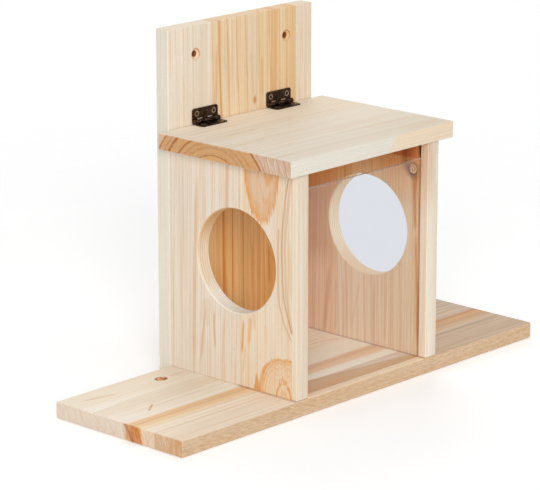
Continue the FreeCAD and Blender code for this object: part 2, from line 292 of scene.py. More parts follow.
            (-84, 34, -12, 33, 2.4, 0.3), (-84, 22.5, 40, 22, 1.2, 0.4), (-64, 15, -20, 15, 1.6, 0.45),
            (-70, -8, -58, -9, 1, 0.4), (-62, -30.5, -34, -31, 1.4, 0.4), (-8, -33, 24, -33, 1.2, 0.3),
            (14, -34, 84, -36.5, 1.4, 0.6), (30, -51, 84, -55, 1.3, 0.7), (34, -57, 84, -58.5, 1.2, 0.6),
            (-84, -50, -56, -52, 2, 0.35), (24, 18, 60, 17, 2, 0.35), (54, 28, 84, 26, 1.8, 0.35),
        ),
        "zones": (
            Zone(0.5, 0.95, HEART, on="end", radius=(None, 49)),
            Zone(0.5, 0.9, HEART, on="end", across=(0, None), radius=(48.5, 56)),
            Zone(1, 0.7, (214, 168, 130), on="end", across=(None, 0), radius=(49, 53)),
            Zone(1, 0.85, (208, 176, 148), on="end", across=(None, 0), radius=(53, None)),
            Zone(0.8, 0.7, (222, 176, 136), on="end", across=(20, None), radius=(55, None)),
            Zone(1, 0.7, (218, 170, 112), on="end", radius=(None, 28)),
            Zone(0.4, 0.8, (226, 222, 208), on="side", along=(None, -119.1), across=(None, -60),
                 slant=(-0.82, 0)),
            Zone(0.4, 0.7, (238, 214, 181), on="side", along=(-119.1, None), across=(None, -60),
                 slant=(-0.82, 0)),
            Zone(26, 0.6, (242, 226, 204), on="flat", across=(10, None)),
            Zone(20, 0.55, (216, 204, 186), on="flat", across=(None, -36)),
            Zone(30, 0.4, (212, 194, 166), on="flat", along=(20, None), across=(None, -30)),
            Zone(30, 0.5, (216, 200, 176), on="flat", along=(40, None), across=(10, None)),
        ),
    },
    "floor_board": {
        "grain": "XYZ", "face": 11, "middle": -120, "seams": (-36.6, -27, -11.2),
        "end_tone": (190, 130, 80), "end_rings": 0, "rough_edge": 0.35, "sawn": (0.26, (-80, 80)),
        "staves": (
            Stave((-60, 0), (-60, 0.02), 3.4, 0.16, 71, (246, 229, 208), (220, 184, 144)),
            Stave((-90, 0), (-30, 0), 2.6, 0.16, 77, (250, 236, 216), (224, 190, 148)),
            Stave((-80, 0), (-40, 0), 3.6, 0.3, 83, (246, 221, 184), (226, 176, 112), (208, 140, 70)),
            Stave((60, 0.02), (-30, 0), 4.4, 0.26, 89, (246, 238, 225), (224, 196, 156), (214, 166, 110)),
        ),
        "rings": (
            Ring(3, 20.5, 0.5, 0.3), Ring(3, 8.5, 0.4, 0.3), Ring(2, -14.4, 0.6, 0.4),
            Ring(2, -17.8, 1.4, 0.4), Ring(2, -21.6, 0.5, 0.15), Ring(1, -36.2, 0.5, 0.2),
        ),
        "streaks": (
            (-168, 43.4, -132, 36.4, 1.3, 0.7), (-90, 38, -62, 38.6, 0.8, 0.5),
            (-149, -4.4, -134, 5.6, 1.3, 1), (24, 17.5, 60, 12, 1.6, 0.5, 2), (30, 22.5, 60, 19, 1, 0.3, 1),
        ),
        "shades": (
            (-180, 20, -60, 21, 0.9, 0.6, 1.6), (-180, 7.4, -60, 9, 0.9, 0.5, -2.2),
            (-180, 33, -60, 32, 1, 0.3), (-180, 0.6, -60, 1.4, 1.2, 0.3), (-120, 26, -60, 26, 1.4, 0.25),
            (-180, 50, -60, 49, 1.2, 0.35), (-180, -43, -60, -42, 1.2, 0.22),
            (-180, -52, -60, -53, 1.4, 0.22), (66, 14, 180, 16, 1.2, 0.9), (66, 8, 180, 9, 0.8, 0.9),
            (66, 3, 180, 3, 1, 0.9), (66, -3, 180, -2, 0.8, 0.9), (66, -24.6, 180, -24, 0.8, 0.8),
        ),
        "zones": (
            Zone(1, 0.45, (226, 204, 174), on="top", along=(None, -60), across=(8, 20.5)),
            Zone(8, 0.55, (232, 214, 188), on="top", along=(None, -60), across=(30, None)),
            Zone(2.8, 0.38, (232, 184, 124), on="top", along=(None, -60), across=(-22.4, -12.2)),
            Zone(2.4, 0.6, (244, 226, 198), on="top", along=(None, -60), across=(-27, -22.4)),
            Zone(3, 0.7, (220, 203, 184), on="end", across=(-9, None)),
            Zone(2.4, 0.8, (204, 150, 92), on="end", across=(-26.4, -10), slant=(0, -0.2)),
            Zone(2, 1, (196, 112, 22), on="end", across=(-25, -16.2), slant=(0, -0.2)),
            Zone(1, 0.7, (156, 88, 40), on="end", across=(-18.6, -15), slant=(0, -0.6)),
            Zone(1.2, 0.7, (220, 190, 158), on="end", across=(-36.6, -27.4)),
            Zone(0.8, 0.8, (197, 157, 114), on="end", across=(None, -36.6)),
            Zone(0.8, 0.7, (204, 156, 108), on="end", across=(-53, -49.4)),
            Zone(1.4, 0.7, (204, 146, 90), on="end", across=(None, -55)),
            Zone(0.8, 0.85, (203, 168, 130), on="side", across=(None, -37)),
            Zone(14, 1, tint=(0.94, 0.96, 0.97), on="side", along=(None, -70), across=(None, -37)),
            # Painted light: inside the house the floor's top is lightened and brightened to make up for the
            # shade there.
            Zone(1, 1, (255, 252, 238), on="top", along=(-59, 59), across=(-36, 54)),
            Zone(1, 1, tint=(1.12, 1.1, 1.05), on="top", along=(-59, 59), across=(-36, 54)),
            Zone(1.2, 0.65, (240, 190, 128), on="top", along=(-59, 59), across=(-26, -12.5)),
            Zone(1.2, 0.8, (224, 174, 114), on="top", along=(-59, 59), across=(None, -38.4), skew=0.13),
            # Painted light: the strip in front of the pane is lightened.
            Zone(0.4, 1, (255, 236, 208), on="top", along=(-59, 59), across=(None, -54.8)),
            # Painted contact shade where the walls stand on the floor.
            Zone(0.3, 0.7, CONTACT_SHADE, on="top", along=(58, 58.8)),
            Zone(0.35, 0.6, CONTACT_SHADE, on="top", along=(-71.2, -70.4), across=(None, -9)),
            # Painted shadow: the floor's top right of the house is darkened for the house's shade falling on
            # it.
            Zone(5, 0.74, (172, 138, 106), on="top", along=(64, None)),
            Zone(1.6, 0.65, (204, 160, 106), on="top", along=(62, None), across=(-19.5, -9)),
            Zone(0.8, 0.8, (196, 128, 74), on="top", along=(62, None), across=(-12.5, -9.4)),
            Zone(0.8, 0.4, (222, 198, 170), on="top", along=(62, None), across=(-29, -25.6)),
            Zone(0.6, 0.5, (150, 122, 96), on="top", along=(62, None), across=(-33.4, -31.2)),
        ),
        "knots": (Knot(-94.8, 38.2, (4.6, 3.7), "loose"),),
    },
}

PALE, TAN, GLUE = shade(240, 232, 216), shade(196, 162, 128), shade(150, 108, 70)

# The places across that all veins lie between.
VEIN_RANGE = (-60, -40)


class Signal:
    """One output of a shader node, which takes part in formulas like a number."""

    def __init__(self, sheet, socket):
        self.sheet, self.socket = sheet, socket

    def __add__(self, other):
        return self.sheet.maths("ADD", self, other)

    def __sub__(self, other):
        return self.sheet.maths("SUBTRACT", self, other)

    def __rsub__(self, other):
        return self.sheet.maths("SUBTRACT", other, self)

    def __mul__(self, other):
        return self.sheet.maths("MULTIPLY", self, other)

    def __truediv__(self, other):
        return self.sheet.maths("DIVIDE", self, other)

    def __pow__(self, other):
        return self.sheet.maths("POWER", self, other)

    def __abs__(self):
        return self.sheet.maths("ABSOLUTE", self)

    __radd__, __rmul__ = __add__, __mul__

    def rise(self, low, high, start=0.0, end=1.0):
        """A smooth step from start at low to end at high."""
        return self.sheet.feed("MapRange", self, low, high, start, end, interpolation_type="SMOOTHSTEP")

    def fall(self, low, high, start=1.0):
        """A smooth step down to 0."""
        return self.rise(low, high, start, 0.0)

    def window(self, low, high, soft):
        """1 between low and high, 0 outside, and soft at both ends. None leaves an end open."""
        up = None if low is None else self.rise(low - soft, low + soft)
        down = None if high is None else self.fall(high - soft, high + soft)
        return up * down if up and down else up or down


class NodeSheet:
    """A material, or a world, whose shader nodes are laid out one after another as formulas of signals."""

    def __init__(self, name, store="materials"):
        self.owner = getattr(bpy.data, store).new(name)
        self.owner.use_nodes = True
        self.tree = self.owner.node_tree
        self.tree.nodes.clear()

    def add(self, kind, **settings):
        node = self.tree.nodes.new("ShaderNode" + kind)
        column, row = divmod(len(self.tree.nodes) - 1, 10)
        node.location = (column * 190, row * -190)
        for name, value in settings.items():
            setattr(node, name, value)
        return node

    def plug(self, socket, value):
        if isinstance(value, Signal):
            self.tree.links.new(value.socket, socket)
        elif value is not None:
            socket.default_value = (*value[:3], 1.0) if socket.type == "RGBA" else value

    def feed(self, kind, *values, output=0, **settings):
        """A new node's output, with values plugged into its sockets in order."""
        node = self.add(kind, **settings)
        for socket, value in zip(node.inputs, values):
            self.plug(socket, value)
        return Signal(self, node.outputs[output])

    def wire(self, kind, output=0, **sockets):
        """A new node's output, with values plugged into its sockets by their names."""
        node = self.add(kind)
        for name, value in sockets.items():
            self.plug(node.inputs[name.replace("_", " ")], value)
        return Signal(self, node.outputs[output])

    def rays(self, *kinds):
        """1 for light rays of each of these kinds, and 0 for others."""
        path = self.add("LightPath")
        return [Signal(self, path.outputs["Is %s Ray" % kind]) for kind in kinds]

    def maths(self, operation, *values):
        return self.feed("Math", *values, operation=operation)

    def most(self, first, second):
        """The higher of two values, where the first may still be missing."""
        return second if first is None else self.maths("MAXIMUM", first, second)

    def vector(self, *parts):
        return self.feed("CombineXYZ", *parts)

    def split(self, value):
        node = self.add("SeparateXYZ")
        self.plug(node.inputs[0], value)
        return [Signal(self, socket) for socket in node.outputs]

    def noise(self, place, detail=2.0, roughness=0.5, output="Fac"):
        return self.wire("TexNoise", output, Vector=place, Scale=1.0, Detail=detail, Roughness=roughness)

    def cloud(self, size, detail):
        """Even noise whose lumps have this size in millimetres."""
        return self.noise(self.vector(*(part / size for part in self.object_place())), detail)

    def chance(self, number):
        """A fixed random value from 0 to 1 for each whole number."""
        node = self.add("TexWhiteNoise", noise_dimensions="1D")
        self.plug(node.inputs["W"], number)
        return Signal(self, node.outputs["Value"])

    def mix(self, share, first, second, blend="MIX"):
        node = self.add("Mix", data_type="RGBA", blend_type=blend)
        for index, value in ((0, share), (6, first), (7, second)):
            self.plug(node.inputs[index], value)
        return Signal(self, node.outputs[2])

    def curve(self, value, points, low, high):
        """A smooth curve through points of (value, result), where results lie from low to high."""
        start, stop = points[0][0], points[-1][0]
        node = self.add("FloatCurve")
        line = node.mapping.curves[0]
        scaled = [((x - start) / (stop - start), (y - low) / (high - low)) for x, y in points]
        line.points[0].location, line.points[1].location = scaled[0], scaled[-1]
        for x, y in scaled[1:-1]:
            line.points.new(x, y)
        node.mapping.update()
        self.plug(node.inputs["Value"], (value - start) / (stop - start))
        return Signal(self, node.outputs[0]) * (high - low) + low

    def object_place(self):
        """The point being shaded, in millimetres of the feeder's frame, whatever way its body has turned."""
        return [part * MM_IN_METRE for part in self.split(self.wire("TexCoord", "Object"))]

    def object_normal(self):
        return self.split(self.wire("TexCoord", "Normal"))

    def bump(self, height, distance):
        """A normal for a relief of this height in metres."""
        return self.wire("Bump", Strength=1.0, Distance=distance, Height=height)

    def finish(self, shader, output="OutputMaterial"):
        self.plug(self.add(output).inputs["Surface"], shader)
        return self.owner


class Pine(NodeSheet):
    """Planed pine of one board: rings grow round each stave's pith, and the board's faces cut them."""

    def __init__(self, board):
        super().__init__("pine_" + board)
        self.data, self.settings = BOARDS[board], bpy.context.scene.feeder_pine
        point, normal = self.object_place(), self.object_normal()
        axes = ["XYZ".index(axis) for axis in self.data["grain"]]
        self.along, self.across, self.depth = (point[axis] for axis in axes)
        self.end, self.side, self.flat = (abs(normal[axis]).rise(0.55, 0.85) for axis in axes)
        self.facing = {"end": self.end, "side": self.side, "flat": self.flat,
                       "top": normal[axes[2]].rise(0.55, 0.85)}
        self.steps = [self.maths("GREATER_THAN", self.across, seam) for seam in self.data["seams"]]
        self.seed = self.of_stave("seed")

    def of_stave(self, key, part=None):
        """The number, or one part of the pair, that goes by this name in the stave under the point."""
        values = [getattr(stave, key) for stave in self.data["staves"]]
        if part is not None:
            values = [value[part] for value in values]
        total = values[0]
        for step, before, after in zip(self.steps, values, values[1:]):
            if after != before:
                total = step * (after - before) + total
        return total

    def colour_of_stave(self, key):
        colours = [shade(*(getattr(stave, key) or stave.gold)) for stave in self.data["staves"]]
        total = colours[0]
        for step, colour in zip(self.steps, colours[1:]):
            total = self.mix(step, total, colour)
        return total

    def in_stave(self, number):
        """1 where the point lies in the stave of that number, and 0 elsewhere."""
        low = self.steps[number - 1] if number > 0 else 1.0
        high = 1.0 - self.steps[number] if number < len(self.steps) else 1.0
        return self.maths("MULTIPLY", low, high)

    def streaky(self, length, width, detail=2.0, roughness=0.5, output="Fac", seeded=True):
        """Noise in streaks of this length along the grain and this width, in millimetres."""
        start = self.along / length + self.seed if seeded else self.along / length
        place = self.vector(start, self.across / width, self.depth / width)
        return self.noise(place, detail, roughness, output)

    def paint(self, share, colour, blend="MIX"):
        self.colour = self.mix(share, self.colour, colour, blend)

    def grow(self):
        """The rings: how far each point lies from its pith, and how late in the year its wood grew."""
        # The log grew a little crooked: its rings wander slowly along the board and ripple closer by.
        wander = self.split(self.streaky(130, 46, 1.5, output="Color"))
        self.ripple = self.streaky(26, 7)
        self.bent = self.across + (wander[0] - 0.5) * 3.4 + (self.ripple - 0.5) * 0.7
        sunk = self.depth + (wander[1] - 0.5) * 3.4

        # Grain flows round a knot.
        self.knots = []
        for knot in self.data.get("knots", ()):
            off_along, off_across = self.along - knot.along, self.across - knot.across
            long, wide = knot.radius
            far = off_along * off_along / (long * 3.2) ** 2 + off_across * off_across / (wide * 2.4) ** 2
            self.bent = self.bent - off_across * self.maths("EXPONENT", far * -1.0) * 0.8
            self.knots.append((knot, off_along, off_across))

        pith = self.along * self.of_stave("pith", 1) + self.of_stave("pith", 0)
        heart = self.along * self.of_stave("heart", 1) + self.of_stave("heart", 0)
        aside, below = self.bent - pith, sunk - heart
        self.feather = self.streaky(16, 0.9, seeded=False)
        self.radius = self.maths("SQRT", aside * aside + below * below) + (self.feather - 0.5) * 1.1
        pace = self.noise(self.vector(self.radius / 9, self.seed, 0.0), 1.0)
        count = self.radius / self.of_stave("ring") + pace * 1.6
        turn = self.maths("FRACT", count)
        vigour = self.chance(self.maths("FLOOR", count) + self.seed * 7.0)
        self.late = turn.rise(0.30, 0.92) * turn.fall(0.93, 1.0) * (vigour * vigour * 0.85 + 0.15)

    def lay_wood(self):
        """Each stave's own colour with slow warm patches, fine fibres, hair lines and then its late wood."""
        self.fibre = self.streaky(130, 2.1, 4.0, 0.68)
        patch, hair = self.streaky(80, 11), self.streaky(210, 1.25, 2.0, 0.6)
        self.colour, gold, self.ink = (self.colour_of_stave(key) for key in ("cream", "gold", "ink"))
        self.gold = gold
        self.paint(patch.rise(0.42, 0.75) * 0.4, self.mix(0.35, self.colour, gold))
        self.paint(self.fibre.rise(0.50, 0.70) * 0.5, gold)
        self.paint(hair.rise(0.53, 0.64) * self.settings.hair, self.mix(0.5, gold, TAN))
        self.paint(hair.fall(0.36, 0.47) * self.settings.hair * 1.4, PALE)
        self.paint(self.late * (self.of_stave("figure") * self.settings.figure), gold)
        if "end_tone" in self.data:
            self.ink = self.mix(self.end, self.ink, shade(*self.data["end_tone"]))

    def grained(self, strength, least, most):
        """A strength that follows the fibres from least to most of itself."""
        return self.fibre.rise(0.30, 0.66, strength * least, min(1.0, strength * most))

    def lay_zones(self):
        """Larger areas of another tone, many of them painted light and shade. Tints are kept for later, as
        they go over all lines.
        """
        self.tints = []
        for zone in self.data["zones"]:
            along, across = self.along, self.across
            if zone.slant[0]:
                along = along + self.depth * zone.slant[0]
            if zone.slant[1]:
                across = across + self.depth * zone.slant[1]
            if zone.skew:
                across = across + self.along * zone.skew
            mask = None
            places = along, across, self.depth, self.radius
            for place, span in zip(places, (zone.along, zone.across, zone.depth, zone.radius)):
                if span:
                    part = place.window(*span, zone.soft)
                    mask = mask * part if mask else part
            if zone.on:
                mask = mask * self.facing[zone.on]
            if zone.tint:
                self.tints.append((mask * zone.strength, zone.tint))
            else:
                self.paint(mask * self.grained(zone.strength, 0.78, 1.12), shade(*zone.colour))

    def lay_end_grain(self):
        """The end grain is darker and shows its rings more, and a coarse saw may have torn it."""
        end_ink = self.mix(self.end, self.gold, self.ink)
        self.paint(self.end * (self.late * self.data.get("end_rings", 0.3) + 0.1), end_ink)
        if "sawn" in self.data:
            bite, reach = self.data["sawn"]
            across, depth = self.across, self.depth
            teeth = self.noise(self.vector((across * 0.35 + depth) / 12, across - depth * 0.35, 0.0), 2.0)
            cut = self.end * across.window(*reach, 1.0) * bite
            self.paint(cut * teeth.rise(0.50, 0.66), end_ink)
            self.paint(cut * teeth.fall(0.34, 0.48), PALE)

    def ring_marks(self):
        """Single strong rings."""
        marks = None
        for ring in self.data.get("rings", ()):
            at = ring.radius or self.radius_at(self.data["staves"][ring.stave], ring.at)
            mark = abs(self.radius - at).fall(ring.half * 0.4, ring.half * 1.4, ring.strength)
            if ring.along:
                mark = mark * self.along.window(*ring.along, 6.0)
            if ring.across:
                mark = mark * self.across.window(*ring.across, 1.0)
            if ring.on:
                mark = mark * self.facing[ring.on]
            marks = self.most(marks, mark * self.in_stave(ring.stave))
        return marks

    def radius_at(self, stave, at):
        """How far from the pith a ring lies that shows on the face at this place across."""
        middle, face = self.data["middle"], self.data["face"]
        (pith, drift), (heart, dip) = stave.pith, stave.heart
        return math.hypot(at - pith - drift * middle, face - heart - dip * middle)

    def streak_marks(self, group, marks=None):
        for streak in (Streak(*values) for values in self.data.get(group, ())):
            part = (self.along - streak.start) / (streak.stop - streak.start)
            place = part * (streak.last - streak.first) + streak.first
            if streak.bow:
                place = place + part * (1.0 - part) * (4 * streak.bow)
            fade = part.rise(0.0, 0.25) * part.fall(0.75, 1.0)
            off = abs(self.bent - place) + (1.0 - fade) * streak.half
            mark = off.fall(streak.half * 0.3, streak.half * 1.2, streak.strength) * fade * (1.0 - self.end)
            marks = self.most(marks, mark)
        return marks

    def arch_marks(self, marks):
        """Rings that graze the face, where the tearing of the planer frays them into combs."""
        for arch in self.data.get("arches", ()):
            share = self.in_stave(arch.stave)
            rough = (self.feather - 0.5) * arch.comb + (self.ripple - 0.5) * (arch.comb * 0.5)
            up = abs(self.along + rough - arch.centre[0]) / arch.reach[0]
            out = abs(self.across - arch.centre[1]) / arch.reach[1]
            far = (up ** arch.power + out ** arch.power) ** (1.0 / arch.power)
            if arch.fill:
                at, soft, strength, tone = arch.fill
                filled = far.fall(at - soft, at + soft) * self.grained(strength, 0.7, 1.15)
                self.paint(filled * share, shade(*tone))
            for at, half, strength in arch.rings:
                marks = self.most(marks, abs(far - at).fall(half * 0.3, half * 1.4, strength) * share)
        return marks

    def lay_lines(self):
        """Strong rings, streaks, veins and arches, which the planer has worn in places."""
        worn = self.fibre.rise(0.30, 0.62, 0.55, 1.0) * self.settings.figure
        streaks, shades = self.streak_marks("streaks", self.ring_marks()), self.streak_marks("shades")
        for vein in self.data.get("veins", ()):
            place = self.curve(self.along, vein.points, *VEIN_RANGE)
            mark = abs(self.across - place).fall(vein.half * 0.4, vein.half * 1.3, vein.strength)
            mark = mark * self.along.window(vein.points[0][0], vein.points[-1][0], 1.5) * self.flat * worn
            self.paint(mark, shade(*self.data["vein_tone"]))
        streaks = self.arch_marks(streaks)
        if shades:
            self.paint(shades * worn, self.gold)
        if streaks:
            self.paint(streaks * worn, self.ink)
        for mask, tint in self.tints:
            self.paint(mask, tint, "MULTIPLY")
        for seam in self.data["seams"]:
            self.paint(abs(self.across - seam).fall(0.05, 0.3, 0.22), GLUE)

    def lay_bores(self):
        """The sanded entry holes show fresh wood in painted light and shade, and the screw holes get painted
        shade.
        """
        for bore in self.data.get("bores", ()):
            off_along, off_across, reach = self.along - bore.along, self.across - bore.across, bore.radius
            away = self.maths("SQRT", off_along * off_along + off_across * off_across)
            if bore.finish == "sanded":
                self.lay_sanded_bore(off_along, away.fall(reach + 0.3, reach + 0.8))
                continue
            # Cut wood on the countersink, a painted shade line on its upper rim, and painted shade down the
            # hole.
            self.paint(away.fall(reach + 1.5, reach + 3.0, 0.35), shade(226, 178, 122))
            upper = (off_along + off_across).rise(-1.5, 3.0, 0.15, 0.8)
            self.paint(away.window(reach + 1.45, reach + 1.95, 0.25) * upper, shade(176, 104, 44))
            self.paint(away.fall(reach - 0.1, reach + 0.5, 0.97), shade(150, 68, 22))

    def lay_sanded_bore(self, off_along, near):
        """Fresh wood in three tones of painted light and shade from a hole's bottom to its top, and ring
        layers.
        """
        # The lip is a bright ring on the face round the hole: the sanded edge, and a painted highlight. The
        # ring layers show less at the bottom, which keeps it light.
        lip, wall = near * self.flat * 0.5, near * (1.0 - self.flat)
        sway = self.noise(self.vector(self.along / 24, self.across / 24, 0.0), 1.0)
        layers = self.maths("FRACT", self.depth / 2.05 + sway * 0.9)
        lowest, middle, highest = (shade(*tone) for tone in self.data["fresh"])
        low, high = off_along.fall(-32.0, -14.0), off_along.rise(-4.0, 28.0)
        self.paint(wall * 0.92 + lip, self.mix(high, self.mix(low, middle, lowest), highest))
        self.paint(wall * layers.window(0.36, 0.60, 0.13) * (low * -0.2 + 0.5), shade(194, 156, 114))

    def lay_knots(self):
        """The knots, and the relief that they and the rings leave in the planed face."""
        self.relief = self.late * -0.5 + self.fibre * 0.6
        for knot, off_along, off_across in self.knots:
            long, wide = knot.radius
            rough = self.noise(self.vector(self.along / 2.2, self.across / 2.2, self.depth / 6), 3.0)
            far = off_along * off_along / long ** 2 + off_across * off_across / wide ** 2
            far = self.maths("SQRT", far) + (rough - 0.5) * 0.35
            rim = far.window(0.84, 1.10, 0.09)
            if knot.kind == "pin":
                self.lay_pin_knot(far)
            elif knot.kind == "plug":
                self.lay_plug_knot(far, rim, off_along, off_across)
            else:
                self.lay_loose_knot(far, rim, rough, abs(off_along * 0.7 - off_across * 0.7))
            self.relief = self.relief - rim * 1.2

    def lay_pin_knot(self, far):
        rings = self.maths("SINE", far * 17.0) * 0.5 + 0.5
        self.paint(far.fall(0.8, 2.6, 0.7), shade(216, 158, 96))
        self.paint(far.fall(0.92, 1.06), self.mix(rings * 0.4, shade(214, 150, 86), shade(182, 118, 62)))

    def lay_plug_knot(self, far, rim, off_along, off_across):
        turn = (off_along * -0.8 + off_across * 0.7).rise(-2.0, 3.4)
        spiral = self.maths("SINE", far * 11.0 + self.maths("ARCTAN2", off_along, off_across)) * 0.5 + 0.5
        # Painted shade: a dark halo round the plug, stronger on its lower side, where its black rim is also
        # darkened more.
        self.paint(far.fall(0.9, 2.2, 0.85) * (turn * 0.6 + 0.4), shade(120, 62, 28))
        centre = self.mix(spiral.rise(0.55, 0.95) * 0.75, shade(222, 178, 126), shade(142, 78, 42))
        self.paint(far.fall(0.92, 1.06), centre)
        self.paint(rim * (turn * 0.4 + 0.55), shade(58, 28, 12))

    def lay_loose_knot(self, far, rim, rough, off_crack):
        centre = self.mix(rough.rise(0.42, 0.60), shade(244, 176, 106), shade(160, 88, 24))
        centre = self.mix(off_crack.rise(2.0, 3.2), centre, shade(112, 56, 8))
        # Painted highlight: a pale halo round the knot.
        self.paint(far.fall(1.0, 1.8, 0.7), shade(250, 234, 210))
        self.paint(far.fall(0.80, 0.96), centre)
        self.paint(rim * 0.75, shade(150, 86, 28))

    def lay_fibres(self):
        """The mottle of sawn narrow faces, the tone of single fibres and the odd resin canal."""
        if "rough_edge" in self.data:
            strength = self.data["rough_edge"]
            place = self.vector((self.along + self.depth * 2.5) / 5.0, self.depth / 1.1, 0.0)
            marl = self.noise(place, 3.0, 0.65)
            self.paint(self.side * marl.rise(0.50, 0.62) * strength, shade(178, 136, 92))
            self.paint(self.side * marl.fall(0.38, 0.50) * strength, shade(232, 204, 166))
        amount = self.settings.fibre
        thread = self.streaky(50, 0.42, 1.0, seeded=False)
        tone = (self.fibre - 0.5) * amount + (thread - 0.5) * (amount * 0.5) + 1.0
        self.paint(1.0, self.vector(tone, tone, tone), "MULTIPLY")
        canal = self.streaky(2.6, 0.22, 0.0, seeded=False)
        self.paint(canal.rise(0.70, 0.78) * 0.16, shade(140, 96, 58))

    def make(self):
        for step in (self.grow, self.lay_wood, self.lay_zones, self.lay_end_grain, self.lay_lines,
                     self.lay_bores, self.lay_knots, self.lay_fibres):
            step()
        rough = self.fibre * 0.14 + self.late * -0.08 + self.settings.roughness
        normal = self.bump(self.relief + self.feather * 0.5, self.settings.relief)
        return self.finish(self.wire(
            "BsdfPrincipled", Base_Color=self.colour, Roughness=rough, Specular_IOR_Level=0.35,
            Normal=normal))


def dress(node, material):
    """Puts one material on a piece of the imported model."""
    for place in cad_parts[node].material_slots:
        place.material = material


def dress_boards(*nodes):
    """Gives each of these boards its own pine."""
    for node in nodes:
        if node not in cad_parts:
            raise RuntimeError("the packed model has no board named " + node)
        dress(node, Pine(node).make())
    return {"FINISHED"}


class PineSettings(PropertyGroup):
    figure: FloatProperty(
        name="Figure", description="How strongly the late wood shows", default=1.0, min=0.0, max=1.5)
    fibre: FloatProperty(
        name="Fibre", description="How much single fibres differ in tone", default=0.24, min=0.0, max=0.6)
    hair: FloatProperty(
        name="Hair lines", description="How much the finest lines of the grain show", default=0.34,
        min=0.0, max=0.7)
    relief: FloatProperty(
        name="Relief", description="Height of the raised grain", default=0.00006, min=0.0, max=0.001,
        unit="LENGTH", precision=6)
    roughness: FloatProperty(
        name="Roughness", description="Roughness of the planed faces", default=0.52, min=0.0, max=1.0,
        subtype="FACTOR")


class PaneSettings(PropertyGroup):
    tint: FloatVectorProperty(
        name="Tint", description="Colour of light that comes through the pane",
        default=(0.98, 0.985, 0.99), size=3, min=0.0, max=1.0, subtype="COLOR")
    roughness: FloatProperty(
        name="Roughness", description="Roughness of the polished faces", default=0.02, min=0.0, max=1.0,
        subtype="FACTOR")
    # Edge light is a painted glow: the sawn edges give off light by emission.
    edge: FloatProperty(
        name="Edge light", description="How much light the sawn edges gather and give off", default=0.40,
        min=0.0, max=2.0)


class HingeSettings(PropertyGroup):
    bronze: FloatVectorProperty(
        name="Bronze", description="Dark finish of the leaves", default=shade(78, 60, 44), size=3,
        min=0.0, max=1.0, subtype="COLOR")
    worn: FloatVectorProperty(
        name="Worn", description="Bare metal where edges have rubbed", default=shade(206, 142, 82), size=3,
        min=0.0, max=1.0, subtype="COLOR")
    edge: FloatProperty(
        name="Wear width", description="How far the wear reaches in from an edge", default=0.00025,
        min=0.0, max=0.002, unit="LENGTH", precision=5)


class ScrewSettings(PropertyGroup):
    zinc: FloatVectorProperty(
        name="Zinc", description="Colour of the bright board screws", default=shade(214, 212, 206), size=3,
        min=0.0, max=1.0, subtype="COLOR")
    turns: IntProperty(
        name="Segments", description="Sides of a screw's round head", default=40, min=12, max=96)


class StudioSettings(PropertyGroup):
    azimuth: FloatProperty(
        name="Azimuth", description="Camera's turn round the feeder", default=math.radians(-46.986),
        subtype="ANGLE")
    elevation: FloatProperty(
        name="Elevation", description="Camera's height above the horizon", default=math.radians(15.243),
        subtype="ANGLE")
    distance: FloatProperty(
        name="Distance", description="From the camera to its target", default=1.93211, min=0.1,
        subtype="DISTANCE", unit="LENGTH")
    target: FloatVectorProperty(
        name="Target", description="Point of the feeder that the camera looks at",
        default=(0.00299, 0.03070, 0.08487), size=3, subtype="XYZ", unit="LENGTH", precision=5)
    lens: FloatProperty(
        name="Lens", description="Focal length for a 36 mm wide sensor, in mm", default=189.806, min=10.0)
    world: FloatProperty(
        name="Room light", description="Strength of the even light from all round", default=0.44, min=0.0)
    key: FloatProperty(
        name="Key lamp", description="Power of the large soft lamp in front on the left", default=34.0,
        min=0.0, unit="POWER")
    rear: FloatProperty(
        name="Rear lamp", description="Power of the soft lamp behind on the right", default=9.0,
        min=0.0, unit="POWER")
    top: FloatProperty(
        name="Top lamp", description="Power of the soft lamp overhead", default=8.5, min=0.0, unit="POWER")


class FEEDER_OT_floor_board(Operator):
    """Give the long floor board planed pine with its own staves, rings and loose knot"""

    bl_idname = "feeder.floor_board"
    bl_label = "Floor board"

    def execute(self, context):
        return dress_boards("floor_board")


class FEEDER_OT_back_board(Operator):
    """Give the back board planed pine with its own staves, rings and countersunk hanging holes"""

    bl_idname = "feeder.back_board"
    bl_label = "Back board"

    def execute(self, context):
        return dress_boards("back_board")


class FEEDER_OT_side_walls(Operator):
    """Give both side walls planed pine, with grain arches outside and sanded entry holes"""

    bl_idname = "feeder.side_walls"
    bl_label = "Side walls"

    def execute(self, context):
        return dress_boards("left_wall", "right_wall")


class FEEDER_OT_roof_board(Operator):
    """Give the roof board planed pine, with heartwood rings on its ends"""

    bl_idname = "feeder.roof_board"
    bl_label = "Roof board"

    def execute(self, context):
        return dress_boards("roof_board")


# The cast pane has waves of these lengths across and up it, in millimetres. Heights are in metres.
SAWN_ACRYLIC_ROUGHNESS = 0.35
CAST_WAVES = (90, 30)
CAST_WAVE_HEIGHT = 0.00004
BRONZE_GRIT_HEIGHT = 0.00001


